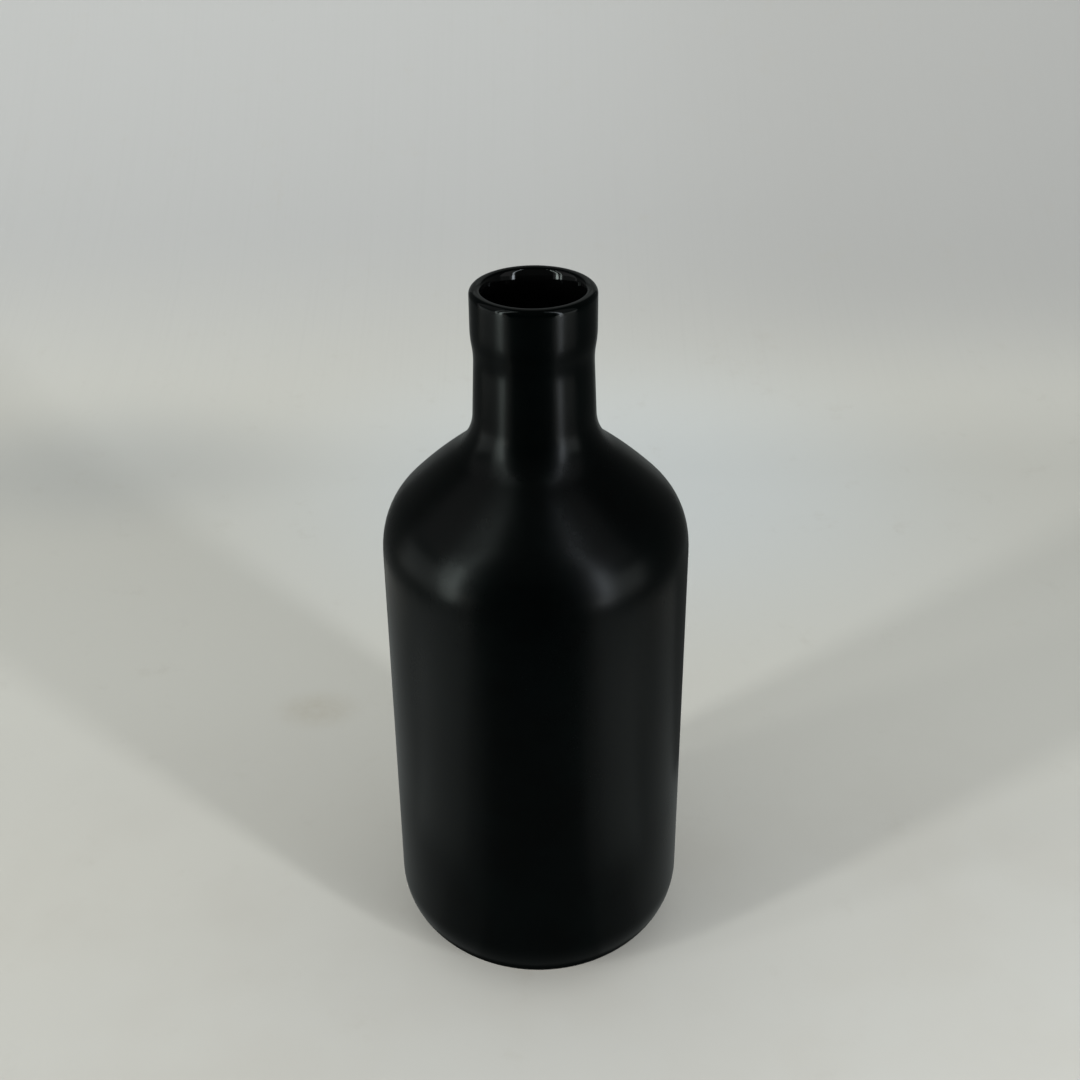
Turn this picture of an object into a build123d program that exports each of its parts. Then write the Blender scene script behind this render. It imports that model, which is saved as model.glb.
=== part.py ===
from build123d import *
import math
import os
from typing import NamedTuple

# Bottle vase: one hollow stoneware casting, with a matt glaze over the outside and the
# top of the lip, and a gloss glaze over the inside, from the lip down to the floor.
# Millimetres, +Z up, origin in the middle of the foot, on the surface it stands on.

# Body
overall_height = 270.0
body_diameter = 110.0
corner_radius = 26.0
wall_thickness = 4.2
floor_thickness = 5.0

# Shoulder: a tight bend off the wall, then a much flatter one that reaches the neck
shoulder_radius = 29.0
shoulder_turn_deg = 43.8
slope_radius = 167.0

# Neck: a hollow bend off the shoulder, a slightly tapered run, and a soft step out to the collar
neck_foot_radius = 19.5
neck_run = 19.2
neck_taper_deg = 2.3
collar_step = 0.9
collar_hollow_radius = 32.3
collar_swell_radius = 34.8
collar_run = 11.9

# Mouth: the bore flares a little up to the inside of a round lip
bore_diameter = 32.0
flare_radius = 16.0
flare_turn_deg = 22.0
lip_radius = 2.18

# Foot ring of bare clay round a shallow recess
foot_height = 1.6
foot_width = 4.0
foot_edge_radius = 0.6
recess_depth = 2.5
recess_corner_radius = 0.9

# Glaze: its coat, the bare clay left beside the foot ring, and the matt one's lap inwards
glaze_thickness = 0.35
dry_band = 1.5
matt_lap_deg = 48.0

# Directions in the half section, in degrees: radius grows outwards and height upwards
OUTWARD = 0
UPWARD = 90
INWARD = 180
DOWNWARD = 270
QUARTER_TURN = 90
HALF_TURN = 180


class Bend(NamedTuple):
    """A round stretch of the glazed surface, between two directions of its normal.

    It bulges out from the clay, or if it is hollow, it curves round the air in front of it.
    """

    r: float
    z: float
    radius: float
    start: float
    end: float
    hollow: bool = False
    after_run: bool = False


def bend_arc(bend, depth):
    """The bend's arc, at a depth under the glazed surface."""
    turn = bend.end - bend.start
    if bend.hollow:
        return CenterArc((bend.r, bend.z), bend.radius + depth, bend.start + HALF_TURN, turn)
    return CenterArc((bend.r, bend.z), bend.radius - depth, bend.start, turn)


def outline(bends, depth):
    """The bends' arcs in order, with the straight runs that some of them follow."""
    edges = []
    for bend in bends:
        arc = bend_arc(bend, depth)
        if bend.after_run:
            edges.append(Line(edges[-1] @ 1, arc @ 0))
        edges.append(arc)
    return edges


def turned(edges):
    """The solid that a closed half section makes when it turns round the vase's axis."""
    section = make_face(Wire(edges))
    return revolve(Plane.XZ * section, Axis.Z)


def cos(degrees):
    return math.cos(math.radians(degrees))


def sin(degrees):
    return math.sin(math.radians(degrees))


body_radius = body_diameter / 2
bore_radius = bore_diameter / 2

# Mouth: the flare's arc leaves the bore upright and runs into the smaller arc of the lip

flare_r = bore_radius + flare_radius
flare_start_deg = INWARD - flare_turn_deg
lip_r = flare_r - (flare_radius - lip_radius) * cos(flare_turn_deg)
lip_z = overall_height - lip_radius
flare_z = lip_z - (flare_radius - lip_radius) * sin(flare_turn_deg)
glaze_seam_deg = UPWARD + matt_lap_deg

# Collar: two bends that turn away and back by the same angle make its step outwards

swell_r = lip_r + lip_radius - collar_swell_radius
swell_z = lip_z - collar_run
step_reach = collar_swell_radius + collar_hollow_radius
hollow_overhang = collar_hollow_radius * cos(neck_taper_deg)
step_deg = math.degrees(math.acos((collar_swell_radius + hollow_overhang - collar_step) / step_reach))
hollow_r = swell_r + step_reach * cos(step_deg)
hollow_z = swell_z - step_reach * sin(step_deg)

# Neck: the tapered run ends where the hollow bend off the shoulder begins

neck_top_r = hollow_r - hollow_overhang
neck_top_z = hollow_z - collar_hollow_radius * sin(neck_taper_deg)
neck_foot_r = neck_top_r + neck_run * sin(neck_taper_deg) + neck_foot_radius * cos(neck_taper_deg)
neck_foot_z = neck_top_z - neck_run * cos(neck_taper_deg) + neck_foot_radius * sin(neck_taper_deg)

# Shoulder: the slope meets both the wall's bend and the neck's, which settles its height

shoulder_r = body_radius - shoulder_radius
slope_r = shoulder_r - (slope_radius - shoulder_radius) * cos(shoulder_turn_deg)
slope_reach = slope_radius + neck_foot_radius
slope_end_deg = math.degrees(math.acos((neck_foot_r - slope_r) / slope_reach))
slope_z = neck_foot_z - slope_reach * sin(slope_end_deg)
shoulder_z = slope_z + (slope_radius - shoulder_radius) * sin(shoulder_turn_deg)

# Base: the foot ring's outer face rises to the clay of the round corner

corner_r = body_radius - corner_radius
clay_corner_radius = corner_radius - glaze_thickness
foot_drop = corner_radius - foot_height
foot_outer = corner_r + math.sqrt(clay_corner_radius**2 - foot_drop**2)
foot_inner = foot_outer - foot_width
foot_top_deg = math.degrees(math.asin(foot_drop / clay_corner_radius))
glaze_line_deg = foot_top_deg - math.degrees(dry_band / clay_corner_radius)

# Inside: the wall keeps its thickness from the shoulder down, and the throat meets the bore

throat_radius = neck_foot_radius + wall_thickness
throat_r = bore_radius + throat_radius
throat_reach = slope_radius - wall_thickness + throat_radius
throat_end_deg = math.degrees(math.acos((throat_r - slope_r) / throat_reach))
throat_z = slope_z + throat_reach * sin(throat_end_deg)
inside_corner_radius = corner_radius - wall_thickness
floor_z = recess_depth + floor_thickness
clay_floor_z = floor_z - glaze_thickness


def outside_bends(first_deg):
    """The outside from a place on the base's corner up to the seam between the two glazes."""
    return [
        Bend(corner_r, corner_radius, corner_radius, first_deg, OUTWARD),
        Bend(shoulder_r, shoulder_z, shoulder_radius, OUTWARD, shoulder_turn_deg, after_run=True),
        Bend(slope_r, slope_z, slope_radius, shoulder_turn_deg, slope_end_deg),
        Bend(neck_foot_r, neck_foot_z, neck_foot_radius, slope_end_deg, neck_taper_deg, hollow=True),
        Bend(hollow_r, hollow_z, collar_hollow_radius, neck_taper_deg, -step_deg, True, after_run=True),
        Bend(swell_r, swell_z, collar_swell_radius, -step_deg, OUTWARD),
        Bend(lip_r, lip_z, lip_radius, OUTWARD, glaze_seam_deg, after_run=True),
    ]


def inside_bends():
    """The inside from the seam between the two glazes down to the edge of the floor."""
    slope_inside = slope_radius - wall_thickness
    shoulder_inside = shoulder_radius - wall_thickness
    corner_z = floor_z + inside_corner_radius
    throat_end = INWARD + throat_end_deg
    slope_end = INWARD + shoulder_turn_deg
    return [
        Bend(lip_r, lip_z, lip_radius, glaze_seam_deg, flare_start_deg),
        Bend(flare_r, flare_z, flare_radius, flare_start_deg, INWARD),
        Bend(throat_r, throat_z, throat_radius, INWARD, throat_end, after_run=True),
        Bend(slope_r, slope_z, slope_inside, throat_end, slope_end, hollow=True),
        Bend(shoulder_r, shoulder_z, shoulder_inside, slope_end, INWARD, hollow=True),
        Bend(corner_r, corner_z, inside_corner_radius, INWARD, UPWARD, hollow=True, after_run=True),
    ]


def matt_outer_glaze():
    """The coat from just above the foot ring, up the outside and over the lip."""
    bends = outside_bends(-glaze_line_deg)
    surface = outline(bends, 0)
    underneath = outline(bends, glaze_thickness)
    edges = [
        Line(surface[0] @ 0, underneath[0] @ 0),
        Line(surface[-1] @ 1, underneath[-1] @ 1),
    ]
    return turned(surface + underneath + edges)


def gloss_inner_glaze():
    """The lining from inside the lip, down the bore and the wall, and across the floor."""
    surface = outline(inside_bends(), 0)
    underneath = outline(inside_bends(), glaze_thickness)
    edges = [
        Line(surface[0] @ 0, underneath[0] @ 0),
        Line(surface[-1] @ 1, (0, floor_z)),
        Line((0, floor_z), (0, clay_floor_z)),
        Line((0, clay_floor_z), underneath[-1] @ 1),
    ]
    return turned(surface + underneath + edges)


def underside_edges(clay_start):
    """The clay under the base, from the middle of the recess out to the round corner."""
    recess_r = foot_inner - recess_corner_radius
    recess_corner_z = recess_depth - recess_corner_radius
    inner_edge_r = foot_inner + foot_edge_radius
    outer_edge_r = foot_outer - foot_edge_radius
    recess_corner = CenterArc((recess_r, recess_corner_z), recess_corner_radius, UPWARD, -QUARTER_TURN)
    inner_edge = CenterArc((inner_edge_r, foot_edge_radius), foot_edge_radius, INWARD, QUARTER_TURN)
    outer_edge = CenterArc((outer_edge_r, foot_edge_radius), foot_edge_radius, DOWNWARD, QUARTER_TURN)
    return [
        Line((0, recess_depth), recess_corner @ 0),
        recess_corner,
        Line(recess_corner @ 1, inner_edge @ 0),
        inner_edge,
        Line(inner_edge @ 1, outer_edge @ 0),
        outer_edge,
        Line(outer_edge @ 1, clay_start),
    ]


def stoneware_body():
    """The fired clay between the glazes, with its bare foot ring."""
    outside = outline(outside_bends(-foot_top_deg), glaze_thickness)
    inside = outline(inside_bends(), glaze_thickness)
    middle = [
        Line(inside[-1] @ 1, (0, clay_floor_z)),
        Line((0, clay_floor_z), (0, recess_depth)),
    ]
    return turned(outside + inside + middle + underside_edges(outside[0] @ 0))


def underside_glaze():
    """The disc of glaze on the recess's ceiling, which stops short of the foot ring."""
    disc_radius = foot_inner - recess_corner_radius - dry_band
    disc = Cylinder(disc_radius, glaze_thickness, align=(Align.CENTER, Align.CENTER, Align.MAX))
    return Pos(0, 0, recess_depth) * disc


pieces = {
    "stoneware_body": stoneware_body(),
    "matt_outer_glaze": matt_outer_glaze(),
    "gloss_inner_glaze": gloss_inner_glaze(),
    "underside_glaze": underside_glaze(),
}

os.makedirs("parts", exist_ok=True)
for name, piece in pieces.items():
    piece.label = name
    export_step(piece, f"parts/{name}.step")

print("bore wall from", round(throat_z, 3), "to", round(flare_z, 3), "collar", round(lip_r + lip_radius, 3))
print("foot ring", round(foot_inner, 3), round(foot_outer, 3), "shoulder", round(shoulder_z, 3))
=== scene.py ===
import math

import bpy
from mathutils import Matrix, Vector


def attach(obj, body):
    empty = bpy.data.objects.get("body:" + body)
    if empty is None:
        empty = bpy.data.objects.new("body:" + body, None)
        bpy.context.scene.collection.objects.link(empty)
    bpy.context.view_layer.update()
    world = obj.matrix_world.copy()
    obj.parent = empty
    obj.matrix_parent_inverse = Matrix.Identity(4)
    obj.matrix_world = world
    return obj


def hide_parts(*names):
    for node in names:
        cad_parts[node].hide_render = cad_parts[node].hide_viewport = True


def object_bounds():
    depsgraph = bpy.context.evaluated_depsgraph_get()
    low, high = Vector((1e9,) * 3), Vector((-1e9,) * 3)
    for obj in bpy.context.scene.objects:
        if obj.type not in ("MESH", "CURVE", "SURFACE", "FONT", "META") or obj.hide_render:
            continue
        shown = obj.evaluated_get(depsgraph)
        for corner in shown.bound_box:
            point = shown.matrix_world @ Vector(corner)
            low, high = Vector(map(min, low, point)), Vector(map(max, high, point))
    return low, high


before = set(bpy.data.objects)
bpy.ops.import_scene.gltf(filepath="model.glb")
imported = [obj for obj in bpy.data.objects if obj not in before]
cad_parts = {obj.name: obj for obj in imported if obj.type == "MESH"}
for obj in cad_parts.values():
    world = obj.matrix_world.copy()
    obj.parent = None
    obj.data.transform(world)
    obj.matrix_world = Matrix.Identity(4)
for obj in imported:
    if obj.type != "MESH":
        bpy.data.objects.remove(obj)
cad_low, cad_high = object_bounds()

# The casting: a hollow bottle of stoneware clay, poured in a plaster mould and fired. It is
# glazed nearly all over, and shows only as the foot ring that it stands on, with the narrow
# band beside it that was sponged clean so that the vase wouldn't stick to the kiln.

MM = 0.001

# Body, shoulder and neck, with turns in degrees
body_radius, overall_height = cad_high[0], cad_high[2]
corner_radius = 26 * MM
wall_thickness = 4.2 * MM
floor_thickness = 5 * MM
glaze_thickness = 0.35 * MM
shoulder_radius = 29 * MM
shoulder_turn = 43.8
slope_radius = 167 * MM
neck_foot_radius = 19.5 * MM
neck_run = 19.2 * MM
neck_taper = 2.3
collar_step = 0.9 * MM
collar_hollow_radius = 32.3 * MM
collar_swell_radius = 34.8 * MM
collar_run = 11.9 * MM

# Mouth, with the turn from the lip's crest to the glazes' seam
bore_radius = 16 * MM
flare_radius = 16 * MM
flare_turn = 22
lip_radius = 2.18 * MM
matt_lap = 48

# Foot ring
foot_height = 1.6 * MM
foot_width = 4 * MM
foot_edge_radius = 0.6 * MM
recess_depth = 2.5 * MM
recess_corner_radius = 0.9 * MM
dry_band = 1.5 * MM

# How far from its start the shoulder's bend is eased in, on either side
ease_reach = 4.5 * MM

# Spacing of the points along the half section, and their turn from one to the next
bend_spacing = 2.2 * MM
flare_spacing = 0.8 * MM
wall_spacing = 3 * MM
collar_spacing = 2 * MM
inner_wall_spacing = 6 * MM
bend_turn = 4
foot_turn = 15


def cos(degrees):
    return math.cos(math.radians(degrees))


def sin(degrees):
    return math.sin(math.radians(degrees))


# The round stretches of the glazed surface, each as the radius and height of its centre and
# its own radius. A direction is 0 degrees outwards and 90 degrees upwards.

flare_r = bore_radius + flare_radius
lip_r = flare_r - (flare_radius - lip_radius) * cos(flare_turn)
lip_z = overall_height - lip_radius
flare = (flare_r, lip_z - (flare_radius - lip_radius) * sin(flare_turn), flare_radius)
lip = (lip_r, lip_z, lip_radius)
flare_start = 180 - flare_turn
glaze_seam = 90 + matt_lap

swell_r = lip_r + lip_radius - collar_swell_radius
swell_z = lip_z - collar_run
step_reach = collar_swell_radius + collar_hollow_radius
hollow_overhang = collar_hollow_radius * cos(neck_taper)
step_turn = math.degrees(math.acos((collar_swell_radius + hollow_overhang - collar_step) / step_reach))
hollow_r = swell_r + step_reach * cos(step_turn)
hollow_z = swell_z - step_reach * sin(step_turn)
collar_swell = (swell_r, swell_z, collar_swell_radius)
collar_hollow = (hollow_r, hollow_z, collar_hollow_radius)

neck_top_r = hollow_r - hollow_overhang
neck_top_z = hollow_z - collar_hollow_radius * sin(neck_taper)
neck_foot_r = neck_top_r + neck_run * sin(neck_taper) + neck_foot_radius * cos(neck_taper)
neck_foot_z = neck_top_z - neck_run * cos(neck_taper) + neck_foot_radius * sin(neck_taper)
neck_foot = (neck_foot_r, neck_foot_z, neck_foot_radius)

shoulder_r = body_radius - shoulder_radius
slope_r = shoulder_r - (slope_radius - shoulder_radius) * cos(shoulder_turn)
slope_reach = slope_radius + neck_foot_radius
slope_end = math.degrees(math.acos((neck_foot_r - slope_r) / slope_reach))
slope_z = neck_foot_z - slope_reach * sin(slope_end)
shoulder_z = slope_z + (slope_radius - shoulder_radius) * sin(shoulder_turn)
slope = (slope_r, slope_z, slope_radius)
shoulder = (shoulder_r, shoulder_z, shoulder_radius)

throat_radius = neck_foot_radius + wall_thickness
throat_r = bore_radius + throat_radius
throat_reach = slope_radius - wall_thickness + throat_radius
throat_end = math.degrees(math.acos((throat_r - slope_r) / throat_reach))
throat = (throat_r, slope_z + throat_reach * sin(throat_end), throat_radius)
inner_slope = (slope_r, slope_z, slope_radius - wall_thickness)
inner_shoulder = (shoulder_r, shoulder_z, shoulder_radius - wall_thickness)

floor_height = recess_depth + floor_thickness
corner_r = body_radius - corner_radius
corner = (corner_r, corner_radius, corner_radius)
inner_corner_radius = corner_radius - wall_thickness
inner_corner = (corner_r, floor_height + inner_corner_radius, inner_corner_radius)

clay_corner_radius = corner_radius - glaze_thickness
foot_drop = corner_radius - foot_height
foot_outer = corner_r + math.sqrt(clay_corner_radius**2 - foot_drop**2)
foot_inner = foot_outer - foot_width
clay_line = -math.degrees(math.asin(foot_drop / clay_corner_radius))
glaze_line = clay_line + math.degrees(dry_band / clay_corner_radius)


def bend(circle, start, end, depth=0, hollow=False, most_turn=bend_turn, spacing=bend_spacing):
    """Points and normals along one round stretch, at a depth under the glazed surface."""
    r, z, radius = circle
    side = -1 if hollow else 1
    reach = radius - side * depth
    turn = end - start
    length = math.radians(abs(turn)) * reach
    steps = max(2, math.ceil(abs(turn) / most_turn), math.ceil(length / spacing))
    points = []
    for i in range(steps + 1):
        a = start + turn * i / steps
        points.append((r + side * reach * cos(a), z + side * reach * sin(a), cos(a), sin(a)))
    return points


def run(points, following, spacing):
    """The points so far, the bend that follows them, and even points on the straight between."""
    (r0, z0, nr, nz), (r1, z1, _, _) = points[-1], following[0]
    steps = max(1, math.ceil(math.hypot(r1 - r0, z1 - z0) / spacing))
    between = [(r0 + (r1 - r0) * i / steps, z0 + (z1 - z0) * i / steps, nr, nz) for i in range(1, steps)]
    return points + between + following


def flat(height, facing, *radii_mm):
    """Points on a flat stretch that faces up (1) or down (-1)."""
    return [(r * MM, height, 0, facing) for r in radii_mm]


def ease(past):
    """How far the casting lies inside the shoulder's plain arc, this far past the arc's start."""
    if past <= -ease_reach:
        return 0.0
    if past < ease_reach:
        softened = (past + ease_reach) ** 3 / (12 * shoulder_radius * ease_reach)
        return softened - max(0, past) ** 2 / (2 * shoulder_radius)
    fade = min(1, (past - ease_reach) / (3 * ease_reach))
    return ease_reach**2 / (6 * shoulder_radius) * (1 - fade * fade * (3 - 2 * fade))


def eased(points):
    """The wall with the shoulder's bend starting softly, as it comes from a plaster mould."""
    softer = []
    for r, z, nr, nz in points:
        turn = max(0, math.atan2(nz, nr))
        past = shoulder_radius * turn if turn > 0 else z - shoulder_z
        sunk = ease(past)
        softer.append((r - nr * sunk, z - nz * sunk, nr, nz))
    return softer


def outside(first, depth=0):
    """From a place on the base's round corner up over the lip to the glazes' seam."""
    points = bend(corner, first, 0, depth)
    points = run(points, bend(shoulder, 0, shoulder_turn, depth), wall_spacing)
    points = eased(points + bend(slope, shoulder_turn, slope_end, depth))
    points += bend(neck_foot, slope_end, neck_taper, depth, hollow=True)
    points = run(points, bend(collar_hollow, neck_taper, -step_turn, depth, hollow=True), wall_spacing)
    points += bend(collar_swell, -step_turn, 0, depth)
    return run(points, bend(lip, 0, glaze_seam, depth), collar_spacing)


def inside(depth=0):
    """From the glazes' seam down the bore, the shoulder and the wall to the floor's edge."""
    points = bend(lip, glaze_seam, flare_start, depth)
    points += bend(flare, flare_start, 180, depth, spacing=flare_spacing)
    points = run(points, bend(throat, 180, 180 + throat_end, depth), wall_spacing)
    points += bend(inner_slope, 180 + throat_end, 180 + shoulder_turn, depth, hollow=True)
    points += bend(inner_shoulder, 180 + shoulder_turn, 180, depth, hollow=True)
    return run(points, bend(inner_corner, 180, 90, depth, hollow=True), inner_wall_spacing)


def place(tree, kind, inputs=(), **settings):
    """Puts a node into a tree, and feeds its sockets with values or with other sockets."""
    node = tree.nodes.new(kind)
    node.location.x = 200 * len(tree.nodes)
    for name, value in settings.items():
        setattr(node, name, value)
    for name, value in dict(inputs).items():
        if isinstance(value, bpy.types.NodeSocket):
            tree.links.new(value, node.inputs[name])
        else:
            node.inputs[name].default_value = value
    return node


def number(tree, operation, a, b=0.0, c=0.0):
    """The result of one Math node."""
    return place(tree, "ShaderNodeMath", {0: a, 1: b, 2: c}, operation=operation).outputs[0]


def spread(tree, value, low, high, to_low=0.0, to_high=1.0, smooth=True):
    """A value taken from one range to another."""
    settings = {"interpolation_type": "SMOOTHSTEP"} if smooth else {}
    inputs = {"Value": value, "From Min": low, "From Max": high, "To Min": to_low, "To Max": to_high}
    return place(tree, "ShaderNodeMapRange", inputs, **settings).outputs[0]


def noise(tree, where, scale, detail=2.0, roughness=0.5, turned=0.0):
    """The value of one noise pattern, with a scale in patches per metre."""
    inputs = {"Vector": where, "W": turned, "Scale": scale, "Detail": detail, "Roughness": roughness}
    return place(tree, "ShaderNodeTexNoise", inputs, noise_dimensions="4D").outputs[0]


# A piece lies at least this far inside its drawn surface
least_hollow = 0.03 * MM
weld_distance = 0.004 * MM
crease_turn = 34

# The patches of an edge's wander round the vase. Noise stays within about 0.25 of its middle,
# which this gain brings up to the whole wander.
wander_patches = 2.2
noise_gain = 4


def turning_tree():
    """Turns a half section round the vase's axis, a little uneven, as a cast wall is."""
    tree = bpy.data.node_groups.new("Turn a half section", "GeometryNodeTree")
    tree.is_modifier = True
    face = tree.interface
    face.new_socket("Section", in_out="INPUT", socket_type="NodeSocketGeometry")
    for name, kind, value in [
        ("Sides", "NodeSocketInt", 256),
        ("Unevenness", "NodeSocketFloat", 0.06 * MM),
        ("Unevenness size", "NodeSocketFloat", 34 * MM),
        ("Edge wander", "NodeSocketFloat", 0.3 * MM),
        ("Neck swell", "NodeSocketFloat", 0.2 * MM),
        ("Swell starts at", "NodeSocketFloat", 188 * MM),
        ("Swell ends at", "NodeSocketFloat", 212 * MM),
        ("Seed", "NodeSocketInt", 4),
    ]:
        face.new_socket(name, in_out="INPUT", socket_type=kind).default_value = value
    face.new_socket("Material", in_out="INPUT", socket_type="NodeSocketMaterial")
    face.new_socket("Turned piece", in_out="OUTPUT", socket_type="NodeSocketGeometry")
    asked = tree.nodes.new("NodeGroupInput").outputs

    def maths(operation, a, b=0.0, c=0.0):
        return number(tree, operation, a, b, c)

    def combine(x, y, z):
        return place(tree, "ShaderNodeCombineXYZ", {0: x, 1: y, 2: z}).outputs[0]

    def step(kind, geometry, inputs=(), **settings):
        return place(tree, kind, {"Geometry": geometry, **dict(inputs)}, **settings).outputs[0]

    def stored(name):
        named = place(tree, "GeometryNodeInputNamedAttribute", {"Name": name}, data_type="FLOAT_VECTOR")
        return named.outputs["Attribute"]

    def at_row(name, value):
        """The radius and height that a value has at this vertex's place in the half section."""
        sources = {"Geometry": asked["Section"], "Index": row, "Value": value}
        sampled = place(tree, "GeometryNodeSampleIndex", sources, data_type="FLOAT_VECTOR").outputs["Value"]
        split = place(tree, "ShaderNodeSeparateXYZ", {0: sampled}, label=name)
        return split.outputs[0], split.outputs[2]

    size = place(tree, "GeometryNodeAttributeDomainSize", {"Geometry": asked["Section"]}, component="MESH")
    rows = size.outputs["Point Count"]
    columns = maths("ADD", asked["Sides"], 1)
    grid = place(tree, "GeometryNodeMeshGrid", {"Vertices X": columns, "Vertices Y": rows})
    index = place(tree, "GeometryNodeInputIndex").outputs[0]
    column = maths("FLOOR", maths("DIVIDE", maths("ADD", index, 0.5), rows))
    row = maths("SUBTRACT", index, maths("MULTIPLY", column, rows))
    angle = maths("DIVIDE", maths("MULTIPLY", column, 2 * math.pi), asked["Sides"])
    cosine, sine = maths("COSINE", angle), maths("SINE", angle)

    section_r, section_z = at_row("section", place(tree, "GeometryNodeInputPosition").outputs[0])
    out_r, out_z = at_row("outwards", stored("outwards"))
    slide_r, slide_z = at_row("slide", stored("slide"))

    spot = combine(maths("MULTIPLY", section_r, cosine), maths("MULTIPLY", section_r, sine), section_z)
    uneven = noise(tree, spot, maths("DIVIDE", 1, asked["Unevenness size"]), 1.0, 0.5, asked["Seed"])
    hollow = maths("MULTIPLY", maths("MULTIPLY", uneven, asked["Unevenness"]), -1)
    hollow = maths("SUBTRACT", hollow, least_hollow)
    wander = noise(tree, combine(cosine, sine, 0.0), wander_patches, 3.0, 0.6, asked["Seed"])
    full_wander = maths("MULTIPLY", asked["Edge wander"], noise_gain)
    drift = maths("MULTIPLY", maths("SUBTRACT", wander, 0.5), full_wander)
    r = maths("ADD", maths("MULTIPLY_ADD", out_r, hollow, section_r), maths("MULTIPLY", slide_r, drift))
    z = maths("ADD", maths("MULTIPLY_ADD", out_z, hollow, section_z), maths("MULTIPLY", slide_z, drift))
    swelling = spread(tree, z, asked["Swell starts at"], asked["Swell ends at"], 0, asked["Neck swell"])
    r = maths("MAXIMUM", maths("ADD", r, swelling), 0)

    spot = combine(maths("MULTIPLY", r, cosine), maths("MULTIPLY", r, sine), z)
    piece = step("GeometryNodeSetPosition", grid.outputs["Mesh"], {"Position": spot})
    piece = step("GeometryNodeMergeByDistance", piece, {"Distance": weld_distance})
    faces = place(tree, "GeometryNodeInputMeshEdgeNeighbors").outputs["Face Count"]
    loose = place(tree, "FunctionNodeCompare", {"A": faces, "B": 1}, operation="LESS_THAN", data_type="INT")
    piece = step("GeometryNodeDeleteGeometry", piece, {"Selection": loose.outputs[0]}, domain="EDGE")
    piece = step("GeometryNodeSetShadeSmooth", piece, {"Shade Smooth": True}, domain="FACE")
    turn = place(tree, "GeometryNodeInputMeshEdgeAngle").outputs["Unsigned Angle"]
    sharpest = math.radians(crease_turn)
    crease = place(tree, "FunctionNodeCompare", {0: turn, 1: sharpest}, operation="GREATER_THAN")
    creased = {"Selection": crease.outputs[0], "Shade Smooth": False}
    piece = step("GeometryNodeSetShadeSmooth", piece, creased, domain="EDGE")
    piece = step("GeometryNodeRealizeInstances", piece)
    piece = step("GeometryNodeSetMaterial", piece, {"Material": asked["Material"]})
    place(tree, "NodeGroupOutput", {0: piece})
    return tree


turning = turning_tree()


def turned_piece(name, section, material, **sizes):
    """A plain mesh of a half section turned round the axis.

    A point has a radius, a height, its normal, and how far it slides with the glaze's edge.
    """
    mesh = bpy.data.meshes.new(name)
    mesh.from_pydata([(p[0], 0, p[1]) for p in section], [(i, i + 1) for i in range(len(section) - 1)], [])
    outwards = mesh.attributes.new("outwards", "FLOAT_VECTOR", "POINT")
    slide = mesh.attributes.new("slide", "FLOAT_VECTOR", "POINT")
    for i, (_, _, nr, nz, *slides) in enumerate(section):
        weight = slides[0] if slides else 0
        outwards.data[i].vector = (nr, 0, nz)
        slide.data[i].vector = (-nz * weight, 0, nr * weight)
    piece = bpy.data.objects.new(name, mesh)
    bpy.context.scene.collection.objects.link(piece)
    modifier = piece.modifiers.new("Turn", "NODES")
    modifier.node_group = turning
    sockets = {s.name: s.identifier for s in turning.interface.items_tree if s.in_out == "INPUT"}
    modifier[sockets["Material"]] = material
    for words, value in sizes.items():
        modifier[sockets[words.replace("_", " ").capitalize()]] = value
    shapes = bpy.context.evaluated_depsgraph_get()
    plain = bpy.data.meshes.new_from_object(piece.evaluated_get(shapes), depsgraph=shapes)
    plain.name = name
    plain.materials.clear()
    plain.materials.append(material)
    plain.polygons.foreach_set("material_index", [0] * len(plain.polygons))
    piece.modifiers.remove(modifier)
    piece.data = plain
    for spare in ("outwards", "slide"):
        if spare in plain.attributes:
            plain.attributes.remove(plain.attributes[spare])
    return piece


def pattern_group(name, inputs, outputs):
    """An empty shader group with named inputs and outputs, and its two end nodes."""
    group = bpy.data.node_groups.new(name, "ShaderNodeTree")
    for words, value in inputs.items():
        socket = group.interface.new_socket(words, in_out="INPUT", socket_type="NodeSocketFloat")
        socket.default_value = value
    for words in outputs:
        group.interface.new_socket(words, in_out="OUTPUT", socket_type="NodeSocketFloat")
    return group, group.nodes.new("NodeGroupInput").outputs, group.nodes.new("NodeGroupOutput")


def times(tree, a, b):
    return number(tree, "MULTIPLY", a, b)


def blend(tree, share, first, second):
    """Two colours mixed by a mask."""
    return place(tree, "ShaderNodeMix", {0: share, 6: first, 7: second}, data_type="RGBA").outputs[2]


def coordinates(tree):
    return place(tree, "ShaderNodeTexCoord").outputs["Object"]


def fired_grain():
    """The skin that a kiln leaves: fine grain, the soft dimples of a sprayed coat, mottling."""
    sizes = {
        "Grain size": 0.4 * MM,
        "Grain depth": 0.004 * MM,
        "Dimple size": 3.5 * MM,
        "Dimple depth": 0.006 * MM,
    }
    group, asked, ends = pattern_group("Fired grain", sizes, ["Height", "Grain", "Mottling"])
    where = coordinates(group)
    grain = noise(group, where, number(group, "DIVIDE", 1, asked["Grain size"]), 3, 0.6)
    dimples = noise(group, where, number(group, "DIVIDE", 1, asked["Dimple size"]), 1.5, 0.4, 2.0)
    height = times(group, grain, asked["Grain depth"])
    height = number(group, "MULTIPLY_ADD", dimples, asked["Dimple depth"], height)
    slow = noise(group, where, 42, 4, 0.6, 5.0)
    group.links.new(height, ends.inputs["Height"])
    group.links.new(grain, ends.inputs["Grain"])
    group.links.new(spread(group, slow, 0.3, 0.7), ends.inputs["Mottling"])
    return group


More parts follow.
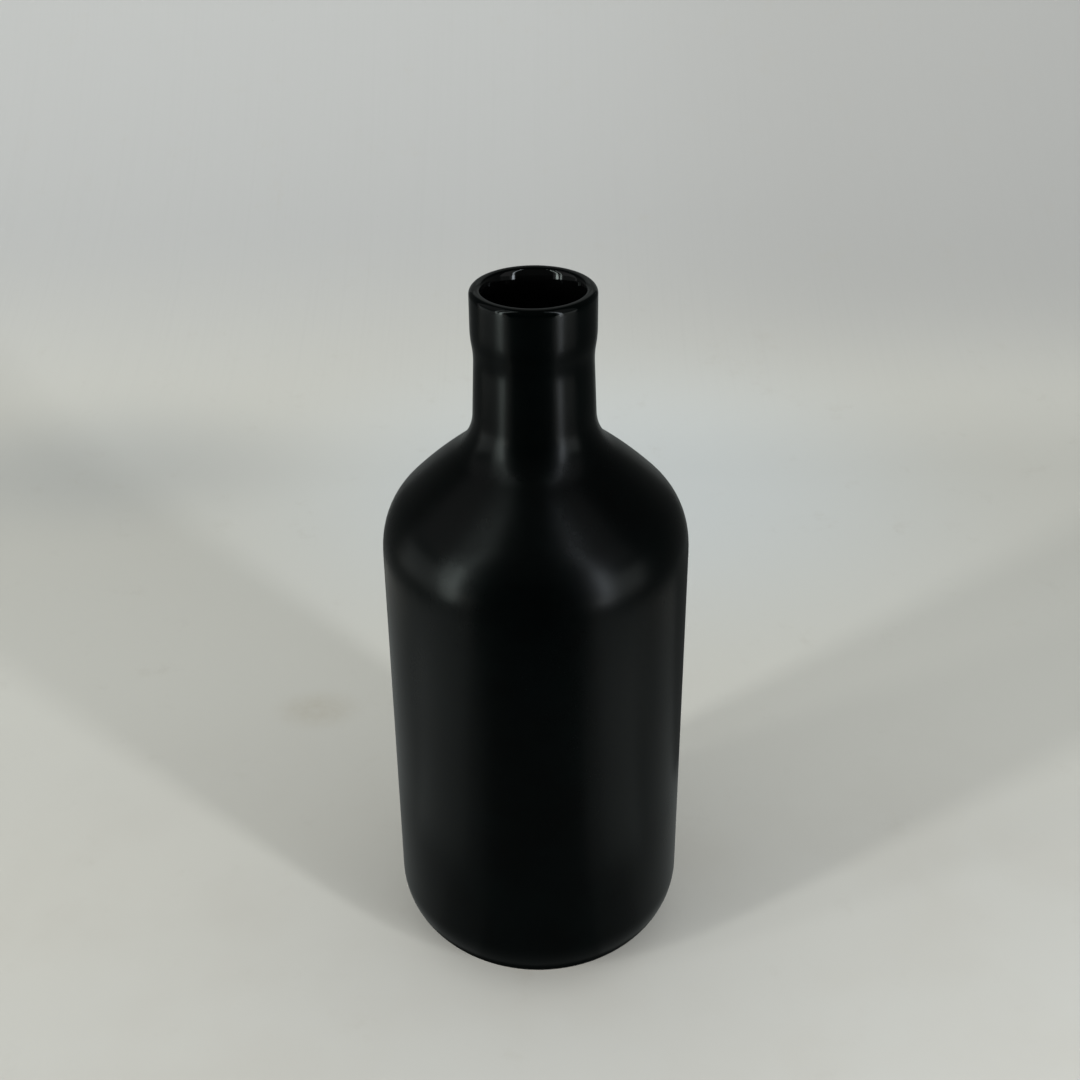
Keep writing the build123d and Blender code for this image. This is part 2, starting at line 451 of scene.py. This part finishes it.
def specks():
    """Round specks or pits, strewn at random, each a little different in size."""
    sizes = {"Cell size": 3 * MM, "Speck size": 0.16 * MM, "Share of cells": 0.2}
    group, asked, ends = pattern_group("Specks", sizes, ["Speck", "Tone"])
    where = coordinates(group)
    scale = number(group, "DIVIDE", 1, asked["Cell size"])
    cells = place(group, "ShaderNodeTexVoronoi", {"Vector": where, "Scale": scale, "Randomness": 1.0})
    lot = place(group, "ShaderNodeSeparateColor", {0: cells.outputs["Color"]})
    size = times(group, asked["Speck size"], spread(group, lot.outputs[1], 0, 1, 0.5, 1.4, False))
    size = number(group, "DIVIDE", size, asked["Cell size"])
    inner = times(group, size, 0.45)
    round_speck = spread(group, cells.outputs["Distance"], inner, size, 1.0, 0.0)
    there = number(group, "LESS_THAN", lot.outputs[0], asked["Share of cells"])
    group.links.new(times(group, round_speck, there), ends.inputs["Speck"])
    group.links.new(lot.outputs[2], ends.inputs["Tone"])
    return group


grain_group, speck_group = fired_grain(), specks()


def effect(tree, group, **values):
    """A shared effect in one material, with that material's own values."""
    node = place(tree, "ShaderNodeGroup", node_tree=group)
    for words, value in values.items():
        node.inputs[words.replace("_", " ").capitalize()].default_value = value
    return node.outputs


def empty_material(name):
    """A material with nothing in its tree."""
    material = bpy.data.materials.new(name)
    material.use_nodes = True
    material.node_tree.nodes.clear()
    return material, material.node_tree


def bare_material(name):
    """A material with its shader and its output, and nothing that feeds them."""
    material, tree = empty_material(name)
    shader = place(tree, "ShaderNodeBsdfPrincipled")
    place(tree, "ShaderNodeOutputMaterial", {0: shader.outputs[0]})
    return material, tree, shader


def add_bump(tree, shader, height, strength):
    """Bends the shader's normal by a height in metres."""
    bump = place(tree, "ShaderNodeBump", {"Height": height, "Distance": 1.0, "Strength": strength})
    tree.links.new(bump.outputs[0], shader.inputs["Normal"])


clay_buff = (0.46, 0.36, 0.26, 1)
clay_brown = (0.36, 0.275, 0.195, 1)
clay_sand = (0.56, 0.47, 0.36, 1)
iron_flash = (0.22, 0.11, 0.055, 1)
iron_speck = (0.07, 0.035, 0.02, 1)
shelf_dirt = (0.17, 0.14, 0.115, 1)


def bare_stoneware():
    """Buff clay with iron specks, sandy to the touch, browner where the glaze's edge drew iron out."""
    material, tree, shader = bare_material("bare_stoneware")
    grain = effect(
        tree, grain_group,
        Grain_size=0.35 * MM, Grain_depth=0.03 * MM, Dimple_size=1.6 * MM, Dimple_depth=0.03 * MM,
    )
    iron = effect(tree, speck_group, Cell_size=1.5 * MM, Speck_size=0.2 * MM, Share_of_cells=0.3)
    pits = effect(tree, speck_group, Cell_size=2.6 * MM, Speck_size=0.3 * MM, Share_of_cells=0.25)
    where = coordinates(tree)
    up = place(tree, "ShaderNodeSeparateXYZ", {0: where}).outputs[2]
    clay = blend(tree, grain["Mottling"], clay_buff, clay_brown)
    clay = blend(tree, times(tree, grain["Grain"], 0.5), clay, clay_sand)
    flash = times(tree, spread(tree, up, 0.9 * MM, 2.4 * MM), noise(tree, where, 110, 3))
    clay = blend(tree, flash, clay, iron_flash)
    clay = blend(tree, times(tree, iron["Speck"], 0.8), clay, iron_speck)
    worn = times(tree, spread(tree, up, 0.35 * MM, 0.05 * MM), noise(tree, where, 240, 4))
    clay = blend(tree, times(tree, worn, 0.6), clay, shelf_dirt)
    tree.links.new(clay, shader.inputs["Base Color"])
    tree.links.new(spread(tree, grain["Grain"], 0.3, 0.7, 0.74, 0.92), shader.inputs["Roughness"])
    shader.inputs["Specular IOR Level"].default_value = 0.3
    add_bump(tree, shader, number(tree, "MULTIPLY_ADD", pits["Speck"], -0.08 * MM, grain["Height"]), 0.9)
    return material


def casting_section():
    """The clay from its outer face over the lip and the floor to the ring that it stands on."""
    recess_r, recess_z = foot_inner - recess_corner_radius, recess_depth - recess_corner_radius
    recess_corner = (recess_r, recess_z, recess_corner_radius)
    inner_edge = (foot_inner + foot_edge_radius, foot_edge_radius, foot_edge_radius)
    outer_edge = (foot_outer - foot_edge_radius, foot_edge_radius, foot_edge_radius)
    points = outside(clay_line, glaze_thickness) + inside(glaze_thickness)
    points += flat(floor_height - glaze_thickness, 1, 20, 10, 0)
    points += flat(recess_depth, -1, 0, 10, 20, 29)
    points += bend(recess_corner, 90, 0, most_turn=foot_turn)
    points += bend(inner_edge, 180, 270, most_turn=foot_turn)
    points += bend(outer_edge, 270, 360, most_turn=foot_turn)
    return points + [points[0]]


stoneware_body = turned_piece(
    "fired_stoneware_casting", casting_section(), bare_stoneware(), edge_wander=0.0
)
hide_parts("stoneware_body")
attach(stoneware_body, "root")

# The outer coat: a satin matt black glaze, sprayed on about a third of a millimetre thick
# from just above the foot ring up over the lip, where it laps a little way into the mouth.

edge_roll = 0.35 * MM
roll_steps = 6
roll_clearance = 0.3 * MM

# How many points beside the wiped edge and the seam slide with it, over what length, and how far
wiped_points, wiped_length = 14, 9 * MM
seam_points, seam_length, seam_slide = 12, 2 * MM, 0.3


def fade_end(points, length, weight=1.0):
    """Lets the end of a run of points slide with the glaze's edge."""
    r1, z1 = points[-1][:2]
    faded = []
    for p in points:
        near = max(0.0, 1 - math.hypot(p[0] - r1, p[1] - z1) / length)
        faded.append((*p[:4], weight * near * near * (3 - 2 * near)))
    return faded


def fade_start(points, length, weight=1.0):
    """Lets the start of a run of points slide with the glaze's edge."""
    return fade_end(points[::-1], length, weight)[::-1]


def outer_coat_section():
    """The coat's rolled lower edge, its face up to the seam with the lining, and its back."""
    r0, z0, radius = corner
    rolled = []
    for i in range(roll_steps + 1):
        turn = 90 * i / roll_steps
        a = glaze_line + math.degrees(edge_roll * (1 - sin(turn)) / radius)
        reach = radius - glaze_thickness * (1 - cos(turn))
        rolled.append((r0 + reach * cos(a), z0 + reach * sin(a), cos(a), sin(a), 1.0))
    front = [p for p in outside(glaze_line) if p[1] > rolled[0][1] + roll_clearance]
    wiped = fade_start(front[:wiped_points], wiped_length)
    seam = fade_end(front[-seam_points:], seam_length, seam_slide)
    back = outside(glaze_line, glaze_thickness)
    back_seam = fade_end(back[-seam_points:], seam_length, seam_slide)
    face = wiped + front[wiped_points:-seam_points] + seam
    return rolled[::-1] + face + back_seam[::-1] + back[:-seam_points][::-1] + [rolled[-1]]


glaze_black = (0.0001, 0.0003, 0.0003, 1)
glaze_black_light = (0.0002, 0.0006, 0.0006, 1)
dust_grey = (0.30, 0.29, 0.27, 1)
pinhole_black = (0.0004, 0.0004, 0.0004, 1)

# Heights between which the coat goes over to its smoother neck, and to its smoother lip
smooth_neck = (205 * MM, 225 * MM)
smooth_lip = (266.8 * MM, 268.4 * MM)


def satin_black_glaze():
    """Satin matt black: grain like an eggshell, faint rubs where hands polish it, a few pinholes."""
    material, tree, shader = bare_material("matt_black_glaze")
    grain = effect(
        tree, grain_group,
        Grain_size=0.42 * MM, Grain_depth=0.0035 * MM, Dimple_size=4.2 * MM, Dimple_depth=0.007 * MM,
    )
    pinholes = effect(tree, speck_group, Cell_size=6 * MM, Speck_size=0.22 * MM, Share_of_cells=0.16)
    dust = effect(tree, speck_group, Cell_size=4.5 * MM, Speck_size=0.12 * MM, Share_of_cells=0.2)
    where = coordinates(tree)
    up = place(tree, "ShaderNodeSeparateXYZ", {0: where}).outputs[2]
    glaze = blend(tree, grain["Mottling"], glaze_black, glaze_black_light)
    dusty = times(tree, dust["Speck"], spread(tree, dust["Tone"], 0, 1, 0.01, 0.06, False))
    glaze = blend(tree, dusty, glaze, dust_grey)
    glaze = blend(tree, pinholes["Speck"], glaze, pinhole_black)
    tree.links.new(glaze, shader.inputs["Base Color"])
    stretched = place(tree, "ShaderNodeMapping", {"Vector": where, "Scale": (1, 1, 0.35)})
    rubs = spread(tree, noise(tree, stretched.outputs[0], 26, 5, 0.62, 7.0), 0.52, 0.72)
    rough = spread(tree, grain["Mottling"], 0, 1, 0.268, 0.288, False)
    for mask, change in [
        (rubs, -0.03),
        (grain["Grain"], 0.02),
        (spread(tree, up, *smooth_neck), -0.04),
        (spread(tree, up, *smooth_lip), -0.165),
    ]:
        rough = number(tree, "MULTIPLY_ADD", mask, change, rough)
    tree.links.new(rough, shader.inputs["Roughness"])
    shader.inputs["Specular IOR Level"].default_value = 0.10
    add_bump(tree, shader, number(tree, "MULTIPLY_ADD", pinholes["Speck"], -0.06 * MM, grain["Height"]), 0.8)
    return material


matt_outer_glaze = turned_piece("satin_black_outer_coat", outer_coat_section(), satin_black_glaze())
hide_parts("matt_outer_glaze")
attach(matt_outer_glaze, "root")

# The lining: a glossy black glaze poured in, swirled round and poured out again, so that
# the clay holds water. It runs from the seam inside the lip down over the wall and floor.

lining_seam_points = 9
lining_black = (0.0008, 0.0009, 0.0009, 1)
lining_black_light = (0.0014, 0.0015, 0.0015, 1)


def lining_section():
    """The lining's face down to the middle of the floor, and its back up again."""
    sides = []
    for depth in (0, glaze_thickness):
        points = inside(depth)
        seam = fade_start(points[:lining_seam_points], seam_length, seam_slide)
        sides.append(seam + points[lining_seam_points:] + flat(floor_height - depth, 1, 24, 18, 12, 6, 0))
    front, back = sides
    return front + back[::-1] + [front[0]]


def gloss_black_glaze():
    """A glossy black pour: nearly mirror smooth, with slow ripples and a few pinholes."""
    material, tree, shader = bare_material("gloss_black_glaze")
    grain = effect(
        tree, grain_group,
        Grain_size=0.9 * MM, Grain_depth=0.0006 * MM, Dimple_size=7 * MM, Dimple_depth=0.012 * MM,
    )
    pinholes = effect(tree, speck_group, Cell_size=7 * MM, Speck_size=0.25 * MM, Share_of_cells=0.12)
    glaze = blend(tree, grain["Mottling"], lining_black, lining_black_light)
    tree.links.new(glaze, shader.inputs["Base Color"])
    tree.links.new(spread(tree, grain["Mottling"], 0, 1, 0.05, 0.07, False), shader.inputs["Roughness"])
    shader.inputs["Specular IOR Level"].default_value = 0.22
    add_bump(tree, shader, number(tree, "MULTIPLY_ADD", pinholes["Speck"], -0.04 * MM, grain["Height"]), 0.6)
    return material


gloss_inner_glaze = turned_piece("gloss_black_lining", lining_section(), gloss_black_glaze())
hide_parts("gloss_inner_glaze")
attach(gloss_inner_glaze, "root")

# The disc under the base: a thinner brush of the same matt glaze inside the foot ring,
# with a hand-wiped edge that stops short of the ring.

disc_radius = foot_inner - recess_corner_radius - dry_band
brown_from, brown_to = 25 * MM, 30.4 * MM
brush_turn, brush_stretch = 0.5, 7

thin_black = (0.002, 0.0022, 0.0021, 1)
thin_black_light = (0.0035, 0.0036, 0.0033, 1)
thin_brown = (0.030, 0.014, 0.008, 1)
clay_in_pinholes = (0.16, 0.12, 0.085, 1)


def disc_section():
    """From the middle of its lower face out to a rolled edge, and back along its upper face."""
    lower = flat(recess_depth - glaze_thickness, -1, 0, 10, 20, 26)
    rolled = []
    for i in range(roll_steps + 1):
        turn = 90 * i / roll_steps
        r = disc_radius - edge_roll * (1 - cos(turn))
        rolled.append((r, recess_depth - glaze_thickness * sin(turn), 0, -1, -1.0))
    upper = flat(recess_depth, 1, 26, 20, 10, 0)
    return lower + rolled[::-1] + upper


def thin_black_glaze():
    """The same glaze brushed thin, with brush marks, going brown towards its edge."""
    material, tree, shader = bare_material("matt_black_underside")
    grain = effect(
        tree, grain_group,
        Grain_size=0.5 * MM, Grain_depth=0.008 * MM, Dimple_size=3 * MM, Dimple_depth=0.012 * MM,
    )
    pinholes = effect(tree, speck_group, Cell_size=3 * MM, Speck_size=0.3 * MM, Share_of_cells=0.3)
    where = coordinates(tree)
    brushed = {"Vector": where, "Rotation": (0, 0, brush_turn), "Scale": (1, brush_stretch, 1)}
    strokes = noise(tree, place(tree, "ShaderNodeMapping", brushed).outputs[0], 90, 4, 0.6, 3.0)
    x, y, _ = place(tree, "ShaderNodeSeparateXYZ", {0: where}).outputs
    reach = number(tree, "SQRT", number(tree, "ADD", times(tree, x, x), times(tree, y, y)))
    thin = times(tree, spread(tree, reach, brown_from, brown_to), spread(tree, strokes, 0.35, 0.65))
    glaze = blend(tree, grain["Mottling"], thin_black, thin_black_light)
    glaze = blend(tree, times(tree, thin, 0.55), glaze, thin_brown)
    glaze = blend(tree, pinholes["Speck"], glaze, clay_in_pinholes)
    tree.links.new(glaze, shader.inputs["Base Color"])
    tree.links.new(spread(tree, strokes, 0.3, 0.7, 0.44, 0.6, False), shader.inputs["Roughness"])
    shader.inputs["Specular IOR Level"].default_value = 0.2
    height = number(tree, "MULTIPLY_ADD", strokes, 0.03 * MM, grain["Height"])
    add_bump(tree, shader, number(tree, "MULTIPLY_ADD", pinholes["Speck"], -0.1 * MM, height), 0.8)
    return material


underside_glaze = turned_piece(
    "thin_black_underside_disc", disc_section(), thin_black_glaze(), unevenness=0.0, edge_wander=0.5 * MM
)
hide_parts("underside_glaze")
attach(underside_glaze, "root")

# The pale sheet that the vase stands on: off-white plastic, hung up behind, so that it lies
# flat and then rises in one wide curve to make the backdrop.

sheet_half_width = 2.6
sheet_front, sheet_finer_from = -3.0, -0.3
curve_start, curve_radius = 0.38, 0.62
backdrop_height = 1.9
flat_steps, curve_steps = 8, 32

sheet_cream = (0.525, 0.525, 0.493, 1)
sheet_cream_light = (0.55, 0.545, 0.50, 1)
sheet_cloud = (0.488, 0.475, 0.432, 1)
# Painted light and shade: lighter behind the vase and in a pool there, darker to its left, towards the
# backdrop and at the sheet's right end
sheet_painted_light_behind = (0.585, 0.585, 0.54, 1)
sheet_painted_light_pool = (0.625, 0.655, 0.65, 1)
sheet_painted_shade_left = (0.41, 0.43, 0.43, 1)
sheet_painted_shade_backdrop = (0.448, 0.455, 0.447, 1)
sheet_painted_shade_right_end = (0.40, 0.40, 0.385, 1)
sheet_scuff = (0.42, 0.40, 0.35, 1)
sheet_smudge = (0.40, 0.36, 0.27, 1)
sheet_thread = (0.38, 0.38, 0.37, 1)
sheet_grit = (0.25, 0.23, 0.20, 1)

# A painted pool of light behind the vase, a painted shade to its left, and a smudge on the flat part
painted_light_pool_middle, painted_light_pool_reach = (0.04, 0.36), (0.28, 0.22)
painted_shade_left_middle, painted_shade_left_reach = (-0.27, 0.39), (0.17, 0.11)
smudge_middle, smudge_reach = (-0.108, 0.133), (0.026, 0.02)


def patch(tree, middle, reach, strength=1.0):
    """A soft oval on the sheet, strongest in its middle."""
    offset = (-middle[0] / reach[0], -middle[1] / reach[1], 0)
    shape = {"Vector": coordinates(tree), "Location": offset, "Scale": (1 / reach[0], 1 / reach[1], 0)}
    oval = place(tree, "ShaderNodeMapping", shape).outputs[0]
    away = place(tree, "ShaderNodeVectorMath", {0: oval}, operation="LENGTH").outputs["Value"]
    return spread(tree, away, 1.0, 0.15, 0, strength)


def sheet_colour(tree):
    """A soft mottling; painted light and shade: lighter behind the vase and in a pool there, darker to its
    left, towards the backdrop and at its right end; light scuffs, a smudge, threads and grit.
    """
    where = coordinates(tree)
    x, y, _ = place(tree, "ShaderNodeSeparateXYZ", {0: where}).outputs
    cloud = spread(tree, noise(tree, where, 14, 3, 0.55, 4.0), 0.4, 0.7)
    # painted shade at the sheet's right end, behind the vase
    painted_shade_right_end = times(tree, spread(tree, x, -0.05, 0.25), spread(tree, y, 0.46, 0.62))
    scuffs = spread(tree, noise(tree, where, 34, 6, 0.7, 9.0), 0.56, 0.76)
    smudge = patch(tree, smudge_middle, smudge_reach, 0.5)
    smudge = times(tree, smudge, noise(tree, where, 160, 4, 0.6, 2.0))
    drawn_out = place(tree, "ShaderNodeMapping", {"Vector": where, "Scale": (420, 5, 5)}).outputs[0]
    threads = spread(tree, noise(tree, drawn_out, 1, 2, 0.5, 3.0), 0.45, 0.75, 0, 0.07)
    grit = effect(tree, speck_group, Cell_size=30 * MM, Speck_size=0.9 * MM, Share_of_cells=0.12)
    wide = spread(tree, noise(tree, where, 2.6, 2, 0.5, 1.0), 0.35, 0.65)
    colour = blend(tree, wide, sheet_cream, sheet_cream_light)
    for mask, tone in [
        (times(tree, cloud, 0.35), sheet_cloud),
        # painted light behind the vase and in a pool, painted shade to its left, towards the backdrop and at
        # the right end
        (spread(tree, y, 0.0, 0.18), sheet_painted_light_behind),
        (patch(tree, painted_light_pool_middle, painted_light_pool_reach), sheet_painted_light_pool),
        (patch(tree, painted_shade_left_middle, painted_shade_left_reach, 0.4), sheet_painted_shade_left),
        (spread(tree, y, 0.44, 0.67), sheet_painted_shade_backdrop),
        (times(tree, painted_shade_right_end, 0.55), sheet_painted_shade_right_end),
        (times(tree, scuffs, 0.22), sheet_scuff),
        (smudge, sheet_smudge),
        (times(tree, threads, spread(tree, y, 0.4, 0.6)), sheet_thread),
        (times(tree, grit["Speck"], 0.3), sheet_grit),
    ]:
        colour = blend(tree, mask, colour, tone)
    return colour


def pale_sheet():
    """Off-white plastic sheet. Seen from below it lets the eye through."""
    material, tree = empty_material("pale_sheet")
    surface = place(tree, "ShaderNodeBsdfPrincipled", {"Base Color": sheet_colour(tree), "Roughness": 0.8})
    surface.inputs["Specular IOR Level"].default_value = 0.1
    clear = place(tree, "ShaderNodeBsdfTransparent")
    seen = place(tree, "ShaderNodeLightPath").outputs["Is Camera Ray"]
    behind = place(tree, "ShaderNodeNewGeometry").outputs["Backfacing"]
    shaders = {0: times(tree, seen, behind), 1: surface.outputs[0], 2: clear.outputs[0]}
    both = place(tree, "ShaderNodeMixShader", shaders)
    place(tree, "ShaderNodeOutputMaterial", {0: both.outputs[0]})
    return material


curve = [(sheet_front, 0.0)]
for i in range(flat_steps + 1):
    share = i / flat_steps
    curve.append((sheet_finer_from * (1 - share) + curve_start * share, 0.0))
for i in range(1, curve_steps + 1):
    a = 90 * i / curve_steps
    curve.append((curve_start + curve_radius * sin(a), curve_radius * (1 - cos(a))))
curve.append((curve_start + curve_radius, backdrop_height))


def ribbon(name, corners, material):
    """A strip of four-sided faces between pairs of corners, on the stage round the vase."""
    mesh = bpy.data.meshes.new(name)
    faces = [(i, i + 1, i + 3, i + 2) for i in range(0, len(corners) - 2, 2)]
    mesh.from_pydata(corners, [], faces)
    mesh.materials.append(material)
    piece = bpy.data.objects.new(name, mesh)
    bpy.context.scene.collection.objects.link(piece)
    return piece


sheet_corners = [(x, y, z) for y, z in curve for x in (-sheet_half_width, sheet_half_width)]
sheet = ribbon("pale_sheet", sheet_corners, pale_sheet())
sheet.data.shade_smooth()

# The light: a pale room, low lamps that light the sheet from the front left and the right,
# and what the glaze mirrors instead: slim strips of light among glowing cards round the vase,
# painted reflections of the lit and shaded floor and room.

# Azimuths are in degrees from the camera's side towards the right, and a level is a brightness

lamp_foot = 0.02
lamp_cool, lamp_warm = (0.97, 0.985, 1.0), (1.0, 1.0, 0.98)


def ring_place(azimuth, distance, height):
    """A place round the vase."""
    return Vector((distance * sin(azimuth), -distance * cos(azimuth), height))


def lamp(name, low, high, width, level, colour):
    """A rectangle of light between two places that faces the vase, as bright as a card of that level."""
    light = bpy.data.lights.new(name, "AREA")
    light.shape = "RECTANGLE"
    light.size, light.size_y = width, (high - low).length
    light.energy = level * math.pi * light.size * light.size_y
    light.color = colour
    holder = bpy.data.objects.new(name, light)
    bpy.context.scene.collection.objects.link(holder)
    along = (high - low).normalized()
    outwards = Vector((low.x + high.x, low.y + high.y, 0))
    outwards = (outwards - outwards.dot(along) * along).normalized()
    turn = Matrix((along.cross(outwards), along, outwards)).transposed().to_4x4()
    holder.matrix_world = Matrix.Translation((low + high) / 2) @ turn
    holder.visible_camera = False
    return holder


def sheet_lamp(name, azimuth, distance, width, height, level, colour):
    """A low upright lamp that lights the sheet; the glaze's reflections don't show it."""
    foot, top = ring_place(azimuth, distance, lamp_foot), ring_place(azimuth, distance, height)
    lamp(name, foot, top, width, level, colour).visible_glossy = False


sheet_lamp("right_sheet_lamp", 44.5, 0.9, 0.07, 0.42, 108, lamp_cool)
sheet_lamp("left_sheet_lamp", -55, 1.5, 0.12, 0.7, 79, lamp_warm)
sheet_lamp("far_left_sheet_lamp", -65.5, 1.5, 0.12, 0.7, 24, lamp_warm)

# Strips: the heights where a strip bends, and each length's share of its level and width
strip_distance = 0.55
strip_heights = (0.005, 0.13, 0.42, 0.8, 1.5)
strip_shares = (0.75, 1.0, 0.75, 1.3)
strip_widths = (0.95, 1.15, 0.8, 0.4)
strip_blue, strip_green = (0.85, 0.93, 1.0), (0.87, 1.0, 0.95)


def strip_of_light(name, azimuths, width, level, colour):
    """A strip of light that leans, with an azimuth at each height; only the glaze mirrors it."""
    bends = [ring_place(a, strip_distance, height) for a, height in zip(azimuths, strip_heights)]
    for low, high, share, narrowing in zip(bends, bends[1:], strip_shares, strip_widths):
        lamp(name, low, high, width * narrowing, level * share, colour).visible_diffuse = False


strip_of_light("right_strip", (48, 47.5, 45, 41, 34), 0.048, 15.0, strip_blue)
strip_of_light("left_strip", (-59, -58, -55, -50, -49), 0.048, 13.4, strip_green)
strip_of_light("far_left_strip", (-65, -65, -65, -65, -65), 0.034, 7.5, strip_green)

# Glowing cards, painted reflections: the heights and distances where their tones change
card_tint = (0.93, 1.0, 0.97)
card_turn = 6
bright_top, card_middle, card_top = 0.29, 0.42, 1.5
front_distance, side_distance, room_distance, back_distance = 0.62, 0.6, 0.42, 0.36
ring_edge, base_edge, foot_reach, lit_reach = 0.034, 0.052, 0.12, 0.2
floor_reach, middle_reach, far_reach = 0.28, 0.31, 0.6


def glowing_reflection_card(name, first, last, inner, outer, level):
    """A glowing card bent round the vase between two azimuths, from one distance and height to another, seen
    only in reflections: a painted reflection of light or shade at its level.
    """
    material, tree = empty_material(name)
    glow = place(tree, "ShaderNodeEmission", {"Color": (*[part * level for part in card_tint], 1)})
    place(tree, "ShaderNodeOutputMaterial", {0: glow.outputs[0]})
    steps = max(2, round((last - first) / card_turn))
    corners = []
    for i in range(steps + 1):
        azimuth = first + (last - first) * i / steps
        corners += [ring_place(azimuth, *inner), ring_place(azimuth, *outer)]
    card = ribbon(name, corners, material)
    card.visible_camera = card.visible_diffuse = card.visible_shadow = False


def standing_reflection_card(name, first, last, distance, low, high, level):
    glowing_reflection_card(name, first, last, (distance, low), (distance, high), level)


def lying_reflection_card(name, first, last, near, far, level, height=0.001):
    glowing_reflection_card(name, first, last, (near, height), (far, height), level)


# Painted reflections: glowing cards that only the glaze sees, bright where it mirrors lit floor and room,
# dark where it mirrors shade
standing_reflection_card("front_low_card", -46, 40, front_distance, 0.0, card_middle, 0.02)
standing_reflection_card("front_high_card", -46, 40, front_distance, card_middle, card_top, 0.08)
standing_reflection_card("left_low_card", -105, -60, side_distance, 0.04, bright_top, 1.2)
standing_reflection_card("left_dim_card", -105, -69, side_distance, bright_top, card_middle, 0.25)
standing_reflection_card("right_low_card", 50, 78, side_distance, 0.06, bright_top, 1.9)
standing_reflection_card("right_dim_card", 54, 78, side_distance, bright_top, card_middle, 0.25)
standing_reflection_card("left_card", -150, -110, room_distance, 0.0, card_top, 0.12)
standing_reflection_card("right_card", 78, 150, room_distance, 0.0, card_top, 0.10)
standing_reflection_card("back_low_card", 150, 210, back_distance, 0.0, card_middle, 0.25)
standing_reflection_card("back_high_card", 150, 210, back_distance, card_middle, card_top, 0.5)
lying_reflection_card("overhead_card", 0, 360, 0.0, front_distance, 0.10, card_top)
lying_reflection_card("foot_shade_card", 0, 360, ring_edge, base_edge, 0.012)
lying_reflection_card("front_foot_card", -32, 32, base_edge, foot_reach, 0.14)
lying_reflection_card("left_foot_card", -60, -32, base_edge, foot_reach, 0.21)
lying_reflection_card("right_foot_card", 32, 60, base_edge, foot_reach, 0.22)
lying_reflection_card("foot_card", 60, 300, base_edge, foot_reach, 0.26)
lying_reflection_card("front_floor_card", -36, 32, foot_reach, floor_reach, 0.15)
lying_reflection_card("far_floor_card", -45, 40, floor_reach, far_reach, 0.02)
lying_reflection_card("left_edge_card", -48, -36, foot_reach, floor_reach, 0.35)
lying_reflection_card("left_lit_card", -92, -48, foot_reach, lit_reach, 0.6)
lying_reflection_card("left_middle_card", -100, -48, lit_reach, middle_reach, 0.75)
lying_reflection_card("left_pool_card", -80, -52, middle_reach, far_reach, 0.36)
lying_reflection_card("left_side_card", -150, -92, foot_reach, floor_reach, 0.32)
lying_reflection_card("right_edge_card", 32, 44, foot_reach, floor_reach, 0.5)
lying_reflection_card("right_lit_card", 44, 72, foot_reach, lit_reach, 0.7)
lying_reflection_card("right_middle_card", 42, 84, lit_reach, middle_reach, 0.9)
lying_reflection_card("right_pool_card", 44, 58, middle_reach, far_reach, 0.2)
lying_reflection_card("right_side_card", 72, 118, foot_reach, floor_reach, 0.32)
lying_reflection_card("back_floor_card", 118, 210, foot_reach, back_distance, 0.08)
lying_reflection_card("far_left_card", -150, -80, middle_reach, far_reach, 0.18)
lying_reflection_card("far_right_card", 58, 150, middle_reach, far_reach, 0.16)

room_grey = (0.61, 0.62, 0.62, 1)
room = bpy.data.worlds.new("pale_room")
room.use_nodes = True
room.node_tree.nodes["Background"].inputs["Color"].default_value = room_grey
room.node_tree.nodes["Background"].inputs["Strength"].default_value = 1.0
bpy.context.scene.world = room
bpy.context.scene.view_settings.view_transform = "Standard"

# The camera: held a little above the vase and looking down at it, with its place, lens and
# angles in degrees fitted to the photograph.

focal_length, sensor_width = 52.775, 36
camera_place = (0.00150, -0.49189, 0.46228)
look_down, tilt = 30.451, -0.508

lens = bpy.data.cameras.new("camera")
lens.lens = focal_length
lens.sensor_width = sensor_width
lens.clip_start, lens.clip_end = 0.01, 50
camera = bpy.data.objects.new("camera", lens)
bpy.context.scene.collection.objects.link(camera)
camera.matrix_world = (
    Matrix.Translation(camera_place)
    @ Matrix.Rotation(math.radians(90 - look_down), 4, "X")
    @ Matrix.Rotation(math.radians(tilt), 4, "Z")
)
bpy.context.scene.camera = camera
